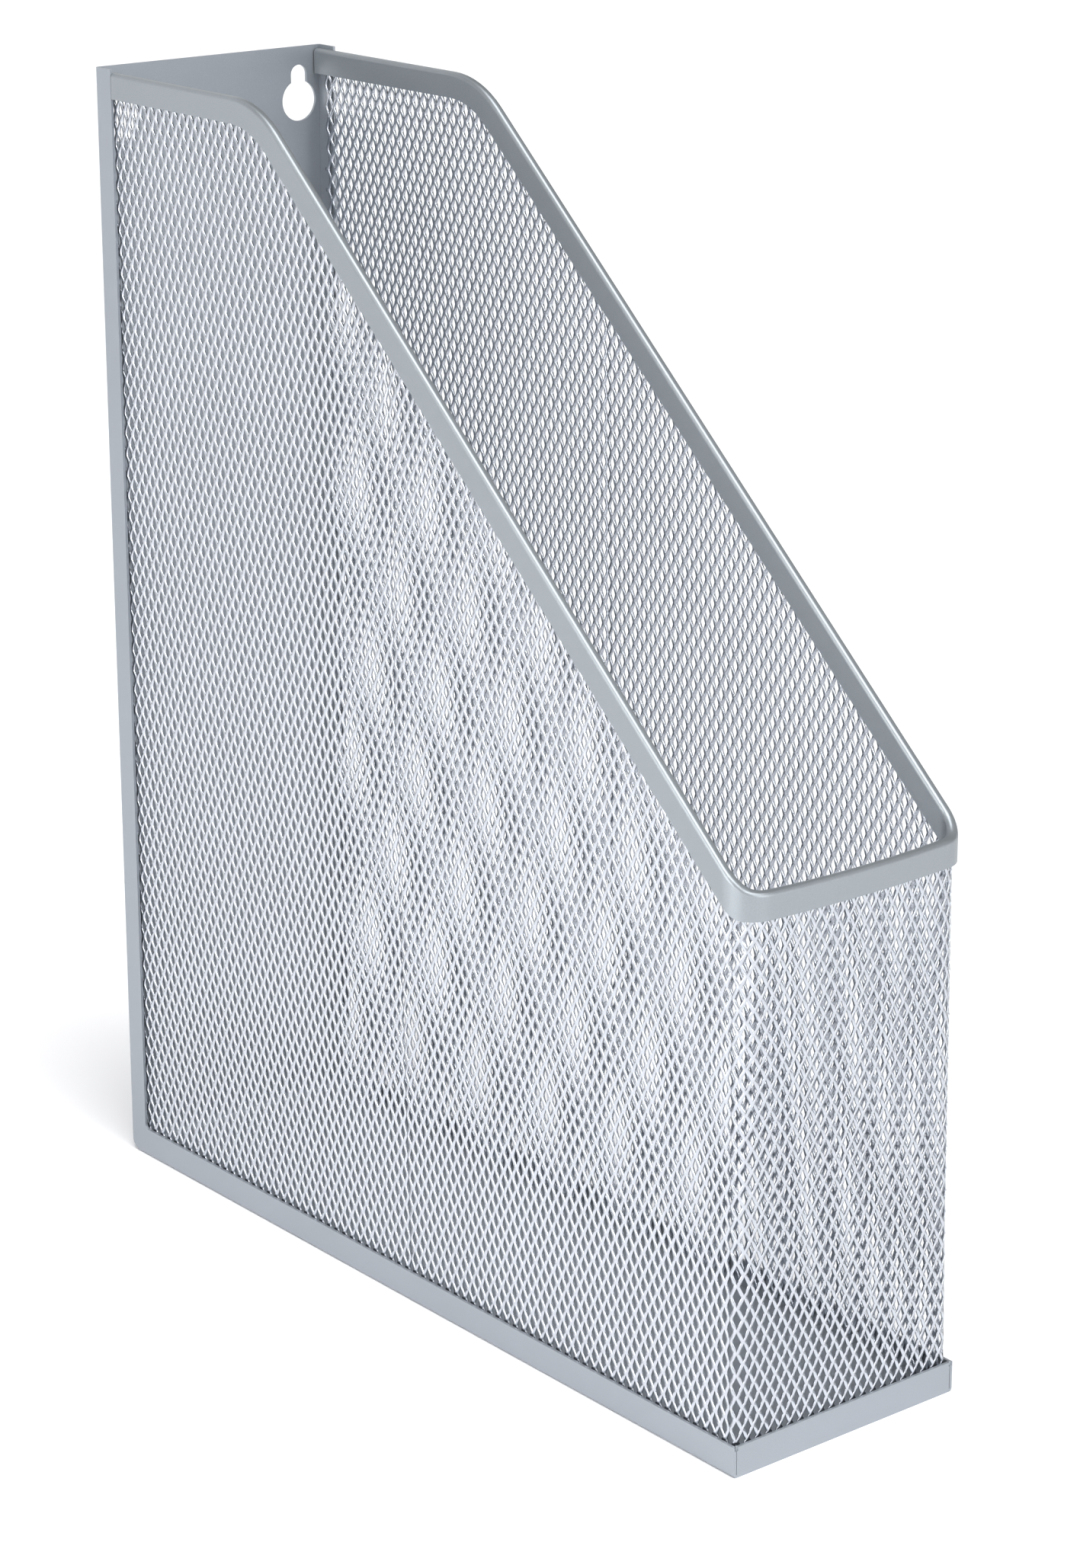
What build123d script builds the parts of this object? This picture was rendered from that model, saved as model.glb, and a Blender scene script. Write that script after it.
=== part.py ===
from build123d import *

import os
from math import atan2, tan

# Wire-mesh magazine file, in millimetres.
# X is the width, Y the depth with the low front at -Y, Z is up.
# The origin is the middle of the footprint, on the surface that the holder stands on.

# --- driving dimensions ---------------------------------------------------------------------
width = 76.0
depth = 270.0
height = 320.0
sheet = 0.8

# back and base pan
base_flange = 8.5
back_flange = 7.6
front_bow = 2.0  # how far the rim and mesh bulge past the pan's front
rear_bend_radius = 3.5
edge_radius = 1.1
flange_corner_radius = 1.5
corner_gap = 0.15
corner_notch = 1.1

# keyholes for wall hanging
keyhole_spacing = 60.0
keyhole_drop = 15.3  # head centre below the back plate's top edge
keyhole_head_radius = 5.8
keyhole_slot_width = 5.4
keyhole_slot_rise = 7.4  # slot end centre above the head centre

# side profile, measured on the rim's top
rim_top = height - 1.0
top_flat = 75.0  # level run at the back, to the corner before it is rounded
front_height = 153.0
crest_radius = 30.0
front_blend_radius = 6.0
front_blend_start = 1.5  # the slope's foot, behind the pan's front

# mesh wrap
mesh_thickness = 1.2
mesh_corner_low = 2.0
mesh_corner_high = 8.4
mesh_end_gap = 2.8

# folded rim
rim_leg = 7.0
rim_fold_radius = 1.15
rim_end_gap = 0.4

# --- derived places -------------------------------------------------------------------------
half_width = width / 2
back_y = depth / 2
front_y = -depth / 2 + front_bow  # outer face of the pan's front flange
inside_half = half_width - sheet
plate_front_y = back_y - sheet
flange_front_y = back_y - back_flange
keyhole_x = keyhole_spacing / 2
keyhole_z = height - keyhole_drop
mesh_inset = sheet + mesh_thickness
mesh_rear = plate_front_y - mesh_end_gap
rim_rear = plate_front_y - rim_end_gap
spread_bottom = base_flange  # below this height the mesh follows the pan's square corners
spread_top = front_height - 1.5 * rim_leg  # above this height it follows the rim's round ones
rim_thickness = 2 * sheet + mesh_thickness
rim_corner = mesh_corner_high + sheet
reach = 2 * height  # far enough for any cutting prism
crest_y = back_y - top_flat
foot_y = front_y + front_blend_start
slope_angle = atan2(rim_top - front_height, crest_y - foot_y)


def side_profile(drop):
    """Region under the rim's top line, with that line lowered square to itself by a drop."""
    shift = tan(slope_angle / 2) * drop
    crest = (crest_y + shift, rim_top - drop)
    foot = (foot_y + shift, front_height - drop)
    with BuildSketch(Plane.YZ) as region:
        with BuildLine():
            Polyline(
                (reach, -reach),
                (reach, rim_top - drop),
                crest,
                foot,
                (-reach, front_height - drop),
                (-reach, -reach),
                close=True,
            )
        make_face()
        fillet(region.vertices().sort_by_distance(Vector(*crest))[0], crest_radius - drop)
        fillet(region.vertices().sort_by_distance(Vector(*foot))[0], front_blend_radius)
    return region.sketch


def plan_outline(inset, corner_radius, bow, rear):
    """Plan outline of the mesh or the rim: flat sides, round front corners, a front that may bow."""
    side = half_width - inset
    nose = front_y + inset
    with BuildSketch(Plane.XY) as region:
        with BuildLine():
            Polyline((-side, nose), (-side, rear), (side, rear), (side, nose))
            if bow > 0:
                ThreePointArc((side, nose), (0, nose - bow), (-side, nose))
            else:
                Line((side, nose), (-side, nose))
        make_face()
        fillet(region.vertices().group_by(Axis.Y)[0], corner_radius)
    return region.sketch


def wall_plan(inset, thickness, corner_radius, rear):
    """Plan of a thin bowed wall round both sides and the front, open at the back."""
    with BuildSketch(Plane.XY) as wall:
        add(plan_outline(inset, corner_radius, front_bow, rear))
        add(plan_outline(inset + thickness, corner_radius - thickness, front_bow, rear), mode=Mode.SUBTRACT)
    return wall.sketch


# --- back and base pan: one L-shaped sheet with flanges along every edge but the top -----------------
with BuildPart() as back_and_base_pan:
    with BuildSketch(Plane.YZ):
        with BuildLine():
            Polyline(
                (front_y, 0),
                (back_y, 0),
                (back_y, height),
                (flange_front_y, height),
                (flange_front_y, base_flange),
                (front_y, base_flange),
                close=True,
            )
        make_face()
    extrude(amount=half_width, both=True)
    across = back_and_base_pan.edges().filter_by(Axis.X)
    rear_bottom = across.sort_by_distance((0, back_y, 0))[0]
    fillet(rear_bottom, rear_bend_radius)
    across = back_and_base_pan.edges().filter_by(Axis.X)
    flange_corner = across.sort_by_distance((0, flange_front_y, base_flange))[0]
    fillet(flange_corner, flange_corner_radius)
    side_edges = back_and_base_pan.faces().filter_by(Axis.X).edges()
    bend_edges = side_edges.filter_by(
        lambda edge: edge.center().Z < rear_bend_radius or edge.center().Y > back_y - rear_bend_radius
    ).filter_by(lambda edge: edge.center().Y > front_y and edge.center().Z < height)
    fillet(bend_edges, edge_radius)

    # hollow it to sheet thickness
    with BuildSketch(Plane.YZ) as hollow:
        with BuildLine():
            Polyline(
                (front_y + sheet, sheet),
                (plate_front_y, sheet),
                (plate_front_y, height + sheet),
                (front_y + sheet, height + sheet),
                close=True,
            )
        make_face()
        fillet(hollow.vertices().sort_by_distance((plate_front_y, sheet))[0], rear_bend_radius - sheet)
    extrude(amount=inside_half, both=True, mode=Mode.SUBTRACT)

    # butt seams at the two front corners, each with a small relief notch at its top
    with BuildSketch(Plane.XY.offset(sheet)):
        with Locations((inside_half - corner_gap / 2, front_y), (corner_gap / 2 - inside_half, front_y)):
            Rectangle(corner_gap, 2 * sheet)
    extrude(amount=base_flange, mode=Mode.SUBTRACT)
    with BuildSketch(Plane.XY.offset(base_flange - corner_notch)):
        with Locations((inside_half, front_y), (-inside_half, front_y)):
            Circle(corner_notch / 2)
    extrude(amount=corner_notch, mode=Mode.SUBTRACT)

    # keyholes
    with BuildSketch(Plane.XZ.offset(-back_y)):
        with Locations((keyhole_x, keyhole_z), (-keyhole_x, keyhole_z)):
            Circle(keyhole_head_radius)
        slot_z = keyhole_z + keyhole_slot_rise / 2
        with Locations((keyhole_x, slot_z), (-keyhole_x, slot_z)):
            SlotCenterToCenter(keyhole_slot_rise, keyhole_slot_width, rotation=90)
    extrude(amount=2 * sheet, mode=Mode.SUBTRACT)

# --- mesh wrap: one sheet, bent sharply at the foot and more roundly under the rim -----------------
low_outer = plan_outline(sheet, mesh_corner_low, 0, mesh_rear)
low_inner = plan_outline(mesh_inset, mesh_corner_low - mesh_thickness, 0, mesh_rear)
high_outer = plan_outline(sheet, mesh_corner_high, front_bow, mesh_rear)
high_inner = plan_outline(mesh_inset, mesh_corner_high - mesh_thickness, front_bow, mesh_rear)

with BuildPart() as mesh_wrap:
    for low, high, mode in ((low_outer, high_outer, Mode.ADD), (low_inner, high_inner, Mode.SUBTRACT)):
        extrude(Plane.XY.offset(sheet) * low, amount=spread_bottom - sheet, mode=mode)
        spread = [Plane.XY.offset(spread_bottom) * low, Plane.XY.offset(spread_top) * high]
        loft(spread, ruled=True, mode=mode)
        extrude(Plane.XY.offset(spread_top) * high, amount=height - spread_top, mode=mode)
    extrude(side_profile(sheet), amount=width, both=True, mode=Mode.INTERSECT)

# --- top rim: one strip folded over the cut edge of the mesh ---------------------------------------
with BuildPart() as mesh_slot:
    extrude(wall_plan(sheet, mesh_thickness, mesh_corner_high, back_y), amount=height)
    extrude(side_profile(sheet), amount=width, both=True, mode=Mode.INTERSECT)

with BuildPart() as top_rim:
    extrude(wall_plan(0, rim_thickness, rim_corner, rim_rear), amount=height)
    extrude(side_profile(0), amount=width, both=True, mode=Mode.INTERSECT)
    lengthwise = top_rim.edges().filter_by(Axis.X, reverse=True).filter_by(Axis.Z, reverse=True)
    fold_edges = lengthwise.filter_by(lambda edge: edge.center().Z > sheet)
    fillet(fold_edges, rim_fold_radius)
    extrude(side_profile(rim_leg), amount=width, both=True, mode=Mode.SUBTRACT)
    add(mesh_slot.part, mode=Mode.SUBTRACT)
    # the outer leg stops at the pan's rear flanges, which stand outside the fold
    for plane in (Plane.YZ.offset(inside_half), Plane.YZ.offset(-half_width)):
        with BuildSketch(plane):
            with Locations((back_y, height)):
                Rectangle(2 * (back_flange + corner_gap), height)
        extrude(amount=sheet, mode=Mode.SUBTRACT)

pieces = {
    "back_and_base_pan": back_and_base_pan,
    "mesh_wrap": mesh_wrap,
    "top_rim": top_rim,
}
os.makedirs("parts", exist_ok=True)
for name, piece in pieces.items():
    piece.part.label = name
    export_step(piece.part, f"parts/{name}.step")
    print(name, round(piece.part.volume), len(piece.part.solids()), piece.part.is_valid)
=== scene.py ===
import math

import bpy
import numpy as np
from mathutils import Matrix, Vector


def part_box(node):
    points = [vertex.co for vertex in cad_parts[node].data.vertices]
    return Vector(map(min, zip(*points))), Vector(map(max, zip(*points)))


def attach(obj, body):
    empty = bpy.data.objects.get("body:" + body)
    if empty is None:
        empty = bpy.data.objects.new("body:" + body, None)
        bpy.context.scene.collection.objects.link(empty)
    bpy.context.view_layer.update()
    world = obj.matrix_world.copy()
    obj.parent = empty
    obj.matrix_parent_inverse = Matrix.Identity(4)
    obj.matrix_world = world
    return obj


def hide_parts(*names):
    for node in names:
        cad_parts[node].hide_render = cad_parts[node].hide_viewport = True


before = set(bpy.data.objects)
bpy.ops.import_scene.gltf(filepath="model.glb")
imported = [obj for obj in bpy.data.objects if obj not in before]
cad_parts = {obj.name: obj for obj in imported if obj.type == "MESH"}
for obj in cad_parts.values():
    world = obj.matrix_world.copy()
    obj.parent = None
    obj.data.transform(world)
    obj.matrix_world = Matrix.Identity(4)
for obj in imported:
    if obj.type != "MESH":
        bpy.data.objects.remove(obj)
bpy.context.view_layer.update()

# Wire-mesh magazine file, in metres, in the frame of the CAD model: X is the width, the low front
# is at -Y and Z is up. The folded pan and the rim are the CAD's own solids. The mesh wrap stands
# for a plain CAD wall and is built here as real expanded metal.

MM = 0.001
WELD_DISTANCE = 0.001 * MM  # points closer than this are one point

# --- sizes shared with the CAD model --------------------------------------------------------
pan_low, pan_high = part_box("back_and_base_pan")
wrap_low, wrap_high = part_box("mesh_wrap")
rim_low, rim_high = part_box("top_rim")
height = pan_high.z
sheet = pan_high.x - wrap_high.x
front_bow = pan_low.y - rim_low.y
base_flange = 8.5 * MM
rim_leg = 7.0 * MM
top_flat = 75.0 * MM
crest_radius = 30.0 * MM
front_blend_start = 1.5 * MM  # the slope's foot, behind the pan's front
wrap_corner_low = 2.0 * MM
wrap_corner_high = 8.4 * MM
front_height = rim_low.z + rim_leg
spread_bottom = base_flange  # below this height the mesh follows the pan's square corners
spread_top = front_height - 1.5 * rim_leg  # above this height it follows the rim's round ones
crest_y = pan_high.y - top_flat
foot_y = pan_low.y + front_blend_start
slope_angle = math.atan2(rim_high.z - front_height, crest_y - foot_y)

# --- expanded metal -------------------------------------------------------------------------
# Slits run up the sheet. Opened, each leaves a strand that zigzags upwards and is bonded in turn
# to the strand on its right and to the one on its left. The bonds stand at a slant, like louvres
# that face along the sheet, so the strands also step in and out.
pitch_across = 3.65 * MM
pitch_up = 6.0 * MM
bond_width = 0.74 * MM  # each strand's share, at the middle of a bond
strand_width = 0.92 * MM  # measured level, so a leaning strand is thinner than this
strand_thickness = 0.46 * MM
bond_length = 0.8 * MM
bond_tilt = math.radians(14)
strand_tilt = math.radians(3)
surface_inset = 1.45 * MM  # from the pan's outer faces to the middle of the raised sheet
column_fan = 0.03  # the columns stand this much closer together at the foot than at the top
strand_end_drop = 2.0 * MM  # the strands end this far below the rim's top line
least_bow = 0.01 * MM  # stands for a straight front, so that its radius stays finite
RINGS_PER_BOND = 3  # start, middle and end
RING_CORNERS = ((-1, 1), (1, 1), (1, -1), (-1, -1))  # across and outward, in order round a strand
RIGHT_SIDE, LEFT_SIDE = 1, 3  # each side follows the corner of the same number


# --- shape of the wrap ----------------------------------------------------------------------
def wrap_point(along, up, outward):
    """Point of the wrap: along the sheet from mid-front, up from the floor, and outward."""
    spread = np.clip((up - spread_bottom) / (spread_top - spread_bottom), 0, 1)
    mid_depth = surface_inset - sheet
    corner = wrap_corner_low - mid_depth + spread * (wrap_corner_high - wrap_corner_low)
    bow = np.maximum(spread * front_bow, least_bow)
    side = pan_high.x - surface_inset
    nose = pan_low.y + surface_inset

    front_radius = (side**2 + bow**2) / (2 * bow)
    inner = front_radius - corner
    half_front = np.arcsin((side - corner) / inner)
    distance = np.abs(along)
    bend = np.minimum(distance / front_radius, half_front)
    turn = np.clip((distance - front_radius * half_front) / corner, 0, math.pi / 2 - half_front)
    straight = distance - front_radius * bend - corner * turn
    angle = bend + turn
    front_centre = nose - bow + front_radius
    x = inner * np.sin(bend) + (corner + outward) * np.sin(angle)
    y = front_centre - inner * np.cos(bend) - (corner + outward) * np.cos(angle) + straight
    return np.stack([np.sign(along) * x, y, up + 0 * along], axis=-1)


def rim_line(y, drop):
    """Height of the rim's top line at a depth, lowered square to itself by a drop."""
    centre_y = crest_y + crest_radius * math.tan(slope_angle / 2)
    centre_z = rim_high.z - crest_radius
    radius = crest_radius - drop
    slope_start = centre_y - radius * math.sin(slope_angle)
    arc = centre_z + np.sqrt(np.maximum(radius**2 - (y - centre_y) ** 2, 0))
    slope = centre_z + radius * math.cos(slope_angle) + (y - slope_start) * math.tan(slope_angle)
    crest = np.where(y > slope_start, arc, slope)
    crest = np.where(y > centre_y, rim_high.z - drop, crest)
    return np.maximum(crest, front_height - drop)


def strand_rings(columns):
    """Corners of every strand's cross-sections: an array of column, ring, corner and axis."""
    half_pitch = pitch_up / 2
    bonds = np.arange(int(height / half_pitch) + 1)
    column, bond, place = np.meshgrid(columns, bonds, np.arange(RINGS_PER_BOND), indexing="ij")
    right_hand = np.where((column + bond) % 2 == 0, 1.0, -1.0)
    at_middle = place == 1
    tilt = np.where(at_middle, bond_tilt, strand_tilt)
    half = np.where(at_middle, bond_width, strand_width) / 2
    half_thick = strand_thickness / 2

    gap = pitch_across / 2
    centre_along = right_hand * (gap / 2 - half * np.cos(tilt))
    centre_out = right_hand * half * np.sin(tilt)
    up = half_pitch * bond + bond_length / 2 * (place - 1)
    fan = 1 + column_fan * (up / height - 0.5)

    corners = []
    for across, outer in RING_CORNERS:
        along = centre_along + across * half * np.cos(tilt) + outer * half_thick * np.sin(tilt)
        outward = centre_out - across * half * np.sin(tilt) + outer * half_thick * np.cos(tilt)
        along = (along + gap * (column + 0.5)) * fan
        corners.append(wrap_point(along, up, outward))
    rings = np.stack(corners, axis=-2)
    return rings.reshape(len(columns), -1, len(RING_CORNERS), 3)


def kept_lengths(rings):
    """Which lengths between two rings stay, clear of the base, the rear flanges and the rim."""
    middle = rings.mean(axis=2)
    inside = middle[..., 2] < rim_line(middle[..., 1], strand_end_drop)
    inside &= middle[..., 2] > wrap_low.z + strand_thickness
    inside &= middle[..., 1] < wrap_high.y - strand_width
    return inside[:, :-1] & inside[:, 1:]


def strand_faces(columns, kept):
    """Quads round the kept lengths, with caps at their ends and none between bonded strands."""
    count, lengths = kept.shape
    level = np.arange(lengths)
    right_hand = (columns[:, None] + level // RINGS_PER_BOND) % 2 == 0
    along_bond = level % RINGS_PER_BOND != RINGS_PER_BOND - 1
    bonded = np.zeros_like(kept)
    bonded[:-1] = kept[:-1] & kept[1:] & right_hand[:-1] & along_bond

    step = len(RING_CORNERS)
    first = step * (np.arange(count)[:, None] * (lengths + 1) + level)
    faced = {RIGHT_SIDE: kept & ~bonded, LEFT_SIDE: kept & ~np.roll(bonded, 1, axis=0)}
    quads = []
    for corner in range(step):
        base = first[faced.get(corner, kept)]
        after = (corner + 1) % step
        upper = base + step
        quads.append(np.stack([base + corner, base + after, upper + after, upper + corner], axis=1))
    below = np.pad(kept, ((0, 0), (1, 0)))[:, :-1]
    above = np.pad(kept, ((0, 0), (0, 1)))[:, 1:]
    foot = first[kept & ~below]
    head = first[kept & ~above] + step
    quads.append(np.stack([foot, foot + 3, foot + 2, foot + 1], axis=1))
    quads.append(np.stack([head, head + 1, head + 2, head + 3], axis=1))
    return np.concatenate(quads)


def expanded_metal(name, columns):
    """One closed mesh of bonded strands, for a run of columns."""
    rings = strand_rings(columns)
    used, quads = np.unique(strand_faces(columns, kept_lengths(rings)), return_inverse=True)
    points = rings.reshape(-1, 3)[used]
    _, keep, to_welded = np.unique(
        np.round(points / WELD_DISTANCE), axis=0, return_index=True, return_inverse=True
    )
    quads = to_welded.reshape(-1)[quads.reshape(-1, 4)]
    mesh = bpy.data.meshes.new(name)
    mesh.from_pydata(points[keep].tolist(), [], quads.tolist())
    mesh.polygons.foreach_set("use_smooth", np.ones(len(mesh.polygons), bool))
    piece = bpy.data.objects.new(name, mesh)
    bpy.context.scene.collection.objects.link(piece)
    return piece


# --- materials ------------------------------------------------------------------------------
flake_size = 0.25 * MM
peel_size = 0.9 * MM
cloud_size = 30 * MM
cloud_share = 0.35  # of the colour's unevenness, next to the flakes
dark_below, light_above = 0.35, 0.95
gloss_spread = 0.05
grain_height = 0.02 * MM


def add_node(material, kind, **values):
    """A shader node with its input values set by name."""
    node = material.node_tree.nodes.new(kind)
    for key, value in values.items():
        node.inputs[key.replace("_", " ")].default_value = value
    return node


def silver_paint(name, light, dark, roughness, metallic, grain):
    """Satin silver powder coat: flaked colour, a faint orange peel and a slightly uneven gloss."""
    material = bpy.data.materials.new(name)
    material.use_nodes = True
    link = material.node_tree.links.new
    shader = material.node_tree.nodes["Principled BSDF"]
    shader.inputs["Metallic"].default_value = metallic
    place = add_node(material, "ShaderNodeTexCoord").outputs["Object"]

    flakes = add_node(material, "ShaderNodeTexNoise", Scale=1 / flake_size, Detail=2.0)
    clouds = add_node(material, "ShaderNodeTexNoise", Scale=1 / cloud_size, Detail=3.0)
    peel = add_node(material, "ShaderNodeTexNoise", Scale=1 / peel_size, Detail=2.0)
    for texture in (flakes, clouds, peel):
        link(place, texture.inputs["Vector"])

    blend = add_node(material, "ShaderNodeMath")
    blend.operation = "MULTIPLY_ADD"
    blend.inputs[1].default_value = cloud_share
    link(clouds.outputs["Fac"], blend.inputs[0])
    link(flakes.outputs["Fac"], blend.inputs[2])
    tone = add_node(material, "ShaderNodeValToRGB")
    for element, position, color in zip(
        tone.color_ramp.elements, (dark_below, light_above), (dark, light)
    ):
        element.position = position
        element.color = (*color, 1)
    link(blend.outputs[0], tone.inputs["Fac"])
    link(tone.outputs["Color"], shader.inputs["Base Color"])

    least, most = roughness - gloss_spread, roughness + gloss_spread
    gloss = add_node(material, "ShaderNodeMapRange", To_Min=least, To_Max=most)
    link(clouds.outputs["Fac"], gloss.inputs["Value"])
    link(gloss.outputs["Result"], shader.inputs["Roughness"])

    rough = add_node(material, "ShaderNodeMath")
    link(flakes.outputs["Fac"], rough.inputs[0])
    link(peel.outputs["Fac"], rough.inputs[1])
    bump = add_node(material, "ShaderNodeBump", Strength=grain, Distance=grain_height)
    link(rough.outputs[0], bump.inputs["Height"])
    link(bump.outputs["Normal"], shader.inputs["Normal"])
    return material


def sheet_paint():
    return silver_paint(
        "sheet_paint",
        light=(0.325, 0.35, 0.385),
        dark=(0.28, 0.305, 0.33),
        roughness=0.42,
        metallic=0.60,
        grain=0.35,
    )


# The rim wears the same silver paint as the sheet. Its colour is set a little darker: painted shade
# that tones down its brightly lit front face and top fold.
def rim_paint_with_painted_shade():
    return silver_paint(
        "rim_paint_with_painted_shade",
        light=(0.295, 0.32, 0.34),
        dark=(0.25, 0.275, 0.295),
        roughness=0.42,
        metallic=0.60,
        grain=0.30,
    )


# The strands wear the same silver paint as the sheet. Their colour is set much lighter: a painted
# highlight that stands in for the sheen their rounded strands catch from the lamps.
def mesh_paint_with_painted_sheen():
    return silver_paint(
        "mesh_paint_with_painted_sheen",
        light=(0.57, 0.60, 0.65),
        dark=(0.50, 0.52, 0.56),
        roughness=0.24,
        metallic=1.0,
        grain=0.20,
    )


def floor_finish():
    """Matt pale floor with a barely uneven tone."""
    material = bpy.data.materials.new("floor_finish")
    material.use_nodes = True
    link = material.node_tree.links.new
    shader = material.node_tree.nodes["Principled BSDF"]
    shader.inputs["Roughness"].default_value = 0.8
    shader.inputs["Specular IOR Level"].default_value = 0.2
    place = add_node(material, "ShaderNodeTexCoord").outputs["Object"]
    clouds = add_node(material, "ShaderNodeTexNoise", Scale=3.0, Detail=2.0)
    tone = add_node(material, "ShaderNodeValToRGB")
    tone.color_ramp.elements[0].color = (0.86, 0.86, 0.87, 1)
    tone.color_ramp.elements[1].color = (0.90, 0.90, 0.91, 1)
    link(place, clouds.inputs["Vector"])
    link(clouds.outputs["Fac"], tone.inputs["Fac"])
    link(tone.outputs["Color"], shader.inputs["Base Color"])
    return material


# --- pieces ---------------------------------------------------------------------------------
edge_width = 0.18 * MM
edge_segments = 2
edge_angle = math.radians(40)


def build_mesh_wrap():
    """The wrap in five runs of columns, from the left rear round the front to the right rear."""
    gap = pitch_across / 2
    side_length = wrap_high.y - pan_low.y
    half_front = round(pan_high.x / gap)
    half_side = round((pan_high.x + side_length / 2) / gap)
    last = round((pan_high.x + side_length) / (1 - column_fan / 2) / gap)
    stops = [-last, -half_side, -half_front, half_front, half_side, last]
    runs = ["left_rear", "left_front", "front", "right_front", "right_rear"]
    finish = mesh_paint_with_painted_sheen()
    for run, start, stop in zip(runs, stops, stops[1:]):
        piece = expanded_metal(f"mesh_{run}", np.arange(start, stop))
        piece.data.materials.append(finish)
        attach(piece, "root")
        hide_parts("mesh_wrap")


def finish_cad_node(name, material):
    """Gives a CAD node its finish, and takes the last sharpness off its sheet edges.

    The edge width is an upper limit: the shortest edges, at the corner seams, hold it back.
    """
    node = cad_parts[name]
    node.data.materials.clear()
    node.data.materials.append(material)
    joined = node.modifiers.new("joined", "WELD")
    joined.merge_threshold = WELD_DISTANCE
    rounded = node.modifiers.new("rounded", "BEVEL")
    rounded.width = edge_width
    rounded.segments = edge_segments
    rounded.angle_limit = edge_angle
    node.modifiers.new("flat_faces", "WEIGHTED_NORMAL")


# --- floor, in metres -----------------------------------------------------------------------
floor_rings = 24
floor_segments = 96
floor_radius = 6.0
floor_flat_radius = 3.0
floor_edge_rise = 1.5
sweep_start = 2.4  # behind the object
sweep_rise = 9.0


def floor_height(x, y):
    """Flat round the object, turned up softly all round and swept up high behind it."""
    outwards = (math.hypot(x, y) - floor_flat_radius) / (floor_radius - floor_flat_radius)
    behind = (y - sweep_start) / (floor_radius - sweep_start)
    return max(floor_edge_rise * max(0, outwards) ** 2, sweep_rise * max(0, behind) ** 2)


def build_floor():
    """Large round pale floor."""
    points = [(0, 0, 0)]
    for ring in range(1, floor_rings + 1):
        radius = floor_radius * ring / floor_rings
        for segment in range(floor_segments):
            angle = 2 * math.pi * segment / floor_segments
            x, y = radius * math.cos(angle), radius * math.sin(angle)
            points.append((x, y, floor_height(x, y)))
    faces = []
    for segment in range(floor_segments):
        after = (segment + 1) % floor_segments
        faces.append((0, 1 + segment, 1 + after))
        for ring in range(floor_rings - 1):
            inner, outer = 1 + ring * floor_segments, 1 + (ring + 1) * floor_segments
            faces.append((inner + segment, outer + segment, outer + after, inner + after))
    mesh = bpy.data.meshes.new("floor")
    mesh.from_pydata(points, [], faces)
    mesh.polygons.foreach_set("use_smooth", [True] * len(mesh.polygons))
    mesh.materials.append(floor_finish())
    floor = bpy.data.objects.new("floor", mesh)
    bpy.context.scene.collection.objects.link(floor)


# --- light and camera -----------------------------------------------------------------------
def look_at(target, azimuth, elevation, distance):
    """Place and rotation of something that faces a target from an angle, azimuth 0 in front."""
    a, e = math.radians(azimuth), math.radians(elevation)
    back = Vector((math.sin(a) * math.cos(e), -math.cos(a) * math.cos(e), math.sin(e)))
    return target + back * distance, back.to_track_quat("Z", "Y").to_euler()


def place_facing(name, data, target, **angles):
    """An object that holds a lamp or camera and faces a target."""
    holder = bpy.data.objects.new(name, data)
    bpy.context.scene.collection.objects.link(holder)
    holder.location, holder.rotation_euler = look_at(target, **angles)
    return holder


def faint_world():
    """A weak cool glow from all round."""
    world = bpy.data.worlds.new("studio")
    world.use_nodes = True
    background = world.node_tree.nodes["Background"]
    background.inputs["Color"].default_value = (0.93, 0.96, 1.0, 1)
    background.inputs["Strength"].default_value = 0.04
    bpy.context.scene.world = world


def overhead_light():
    """One very wide soft light from high up, a little to the left of the front."""
    sky = bpy.data.lights.new("sky_light", "SUN")
    sky.energy = 3.4
    sky.angle = math.radians(45)
    place_facing("sky_light", sky, Vector((0, 0, 0)), azimuth=-20, elevation=70, distance=3)


def soft_box(name, azimuth, elevation, distance, width, length, power):
    """Large rectangular lamp that faces the middle of the object."""
    lamp = bpy.data.lights.new(name, "AREA")
    lamp.shape = "RECTANGLE"
    lamp.size, lamp.size_y = width, length
    lamp.energy = power
    middle = Vector((0, 0, height / 2))
    place_facing(name, lamp, middle, azimuth=azimuth, elevation=elevation, distance=distance)


def build_light():
    """Soft studio light, with a narrow box on the left that picks out the mesh."""
    faint_world()
    overhead_light()
    soft_box("left_box", azimuth=-80, elevation=10, distance=1.0, width=0.4, length=1.2, power=10)
    soft_box("front_box", azimuth=5, elevation=18, distance=1.5, width=0.9, length=0.8, power=10)
    bpy.context.scene.view_settings.view_transform = "Standard"


def build_camera():
    """Long lens, from the front left and a little above."""
    camera = bpy.data.cameras.new("camera")
    camera.lens = 90.5
    camera.sensor_width = 36.0
    camera.dof.use_dof = False
    target = Vector((0.0015, -0.0088, 0.1421))
    bpy.context.scene.camera = place_facing(
        "camera", camera, target, azimuth=-39.3, elevation=18.1, distance=1.05
    )


build_mesh_wrap()
finish_cad_node("back_and_base_pan", sheet_paint())
finish_cad_node("top_rim", rim_paint_with_painted_shade())
build_floor()
build_light()
build_camera()
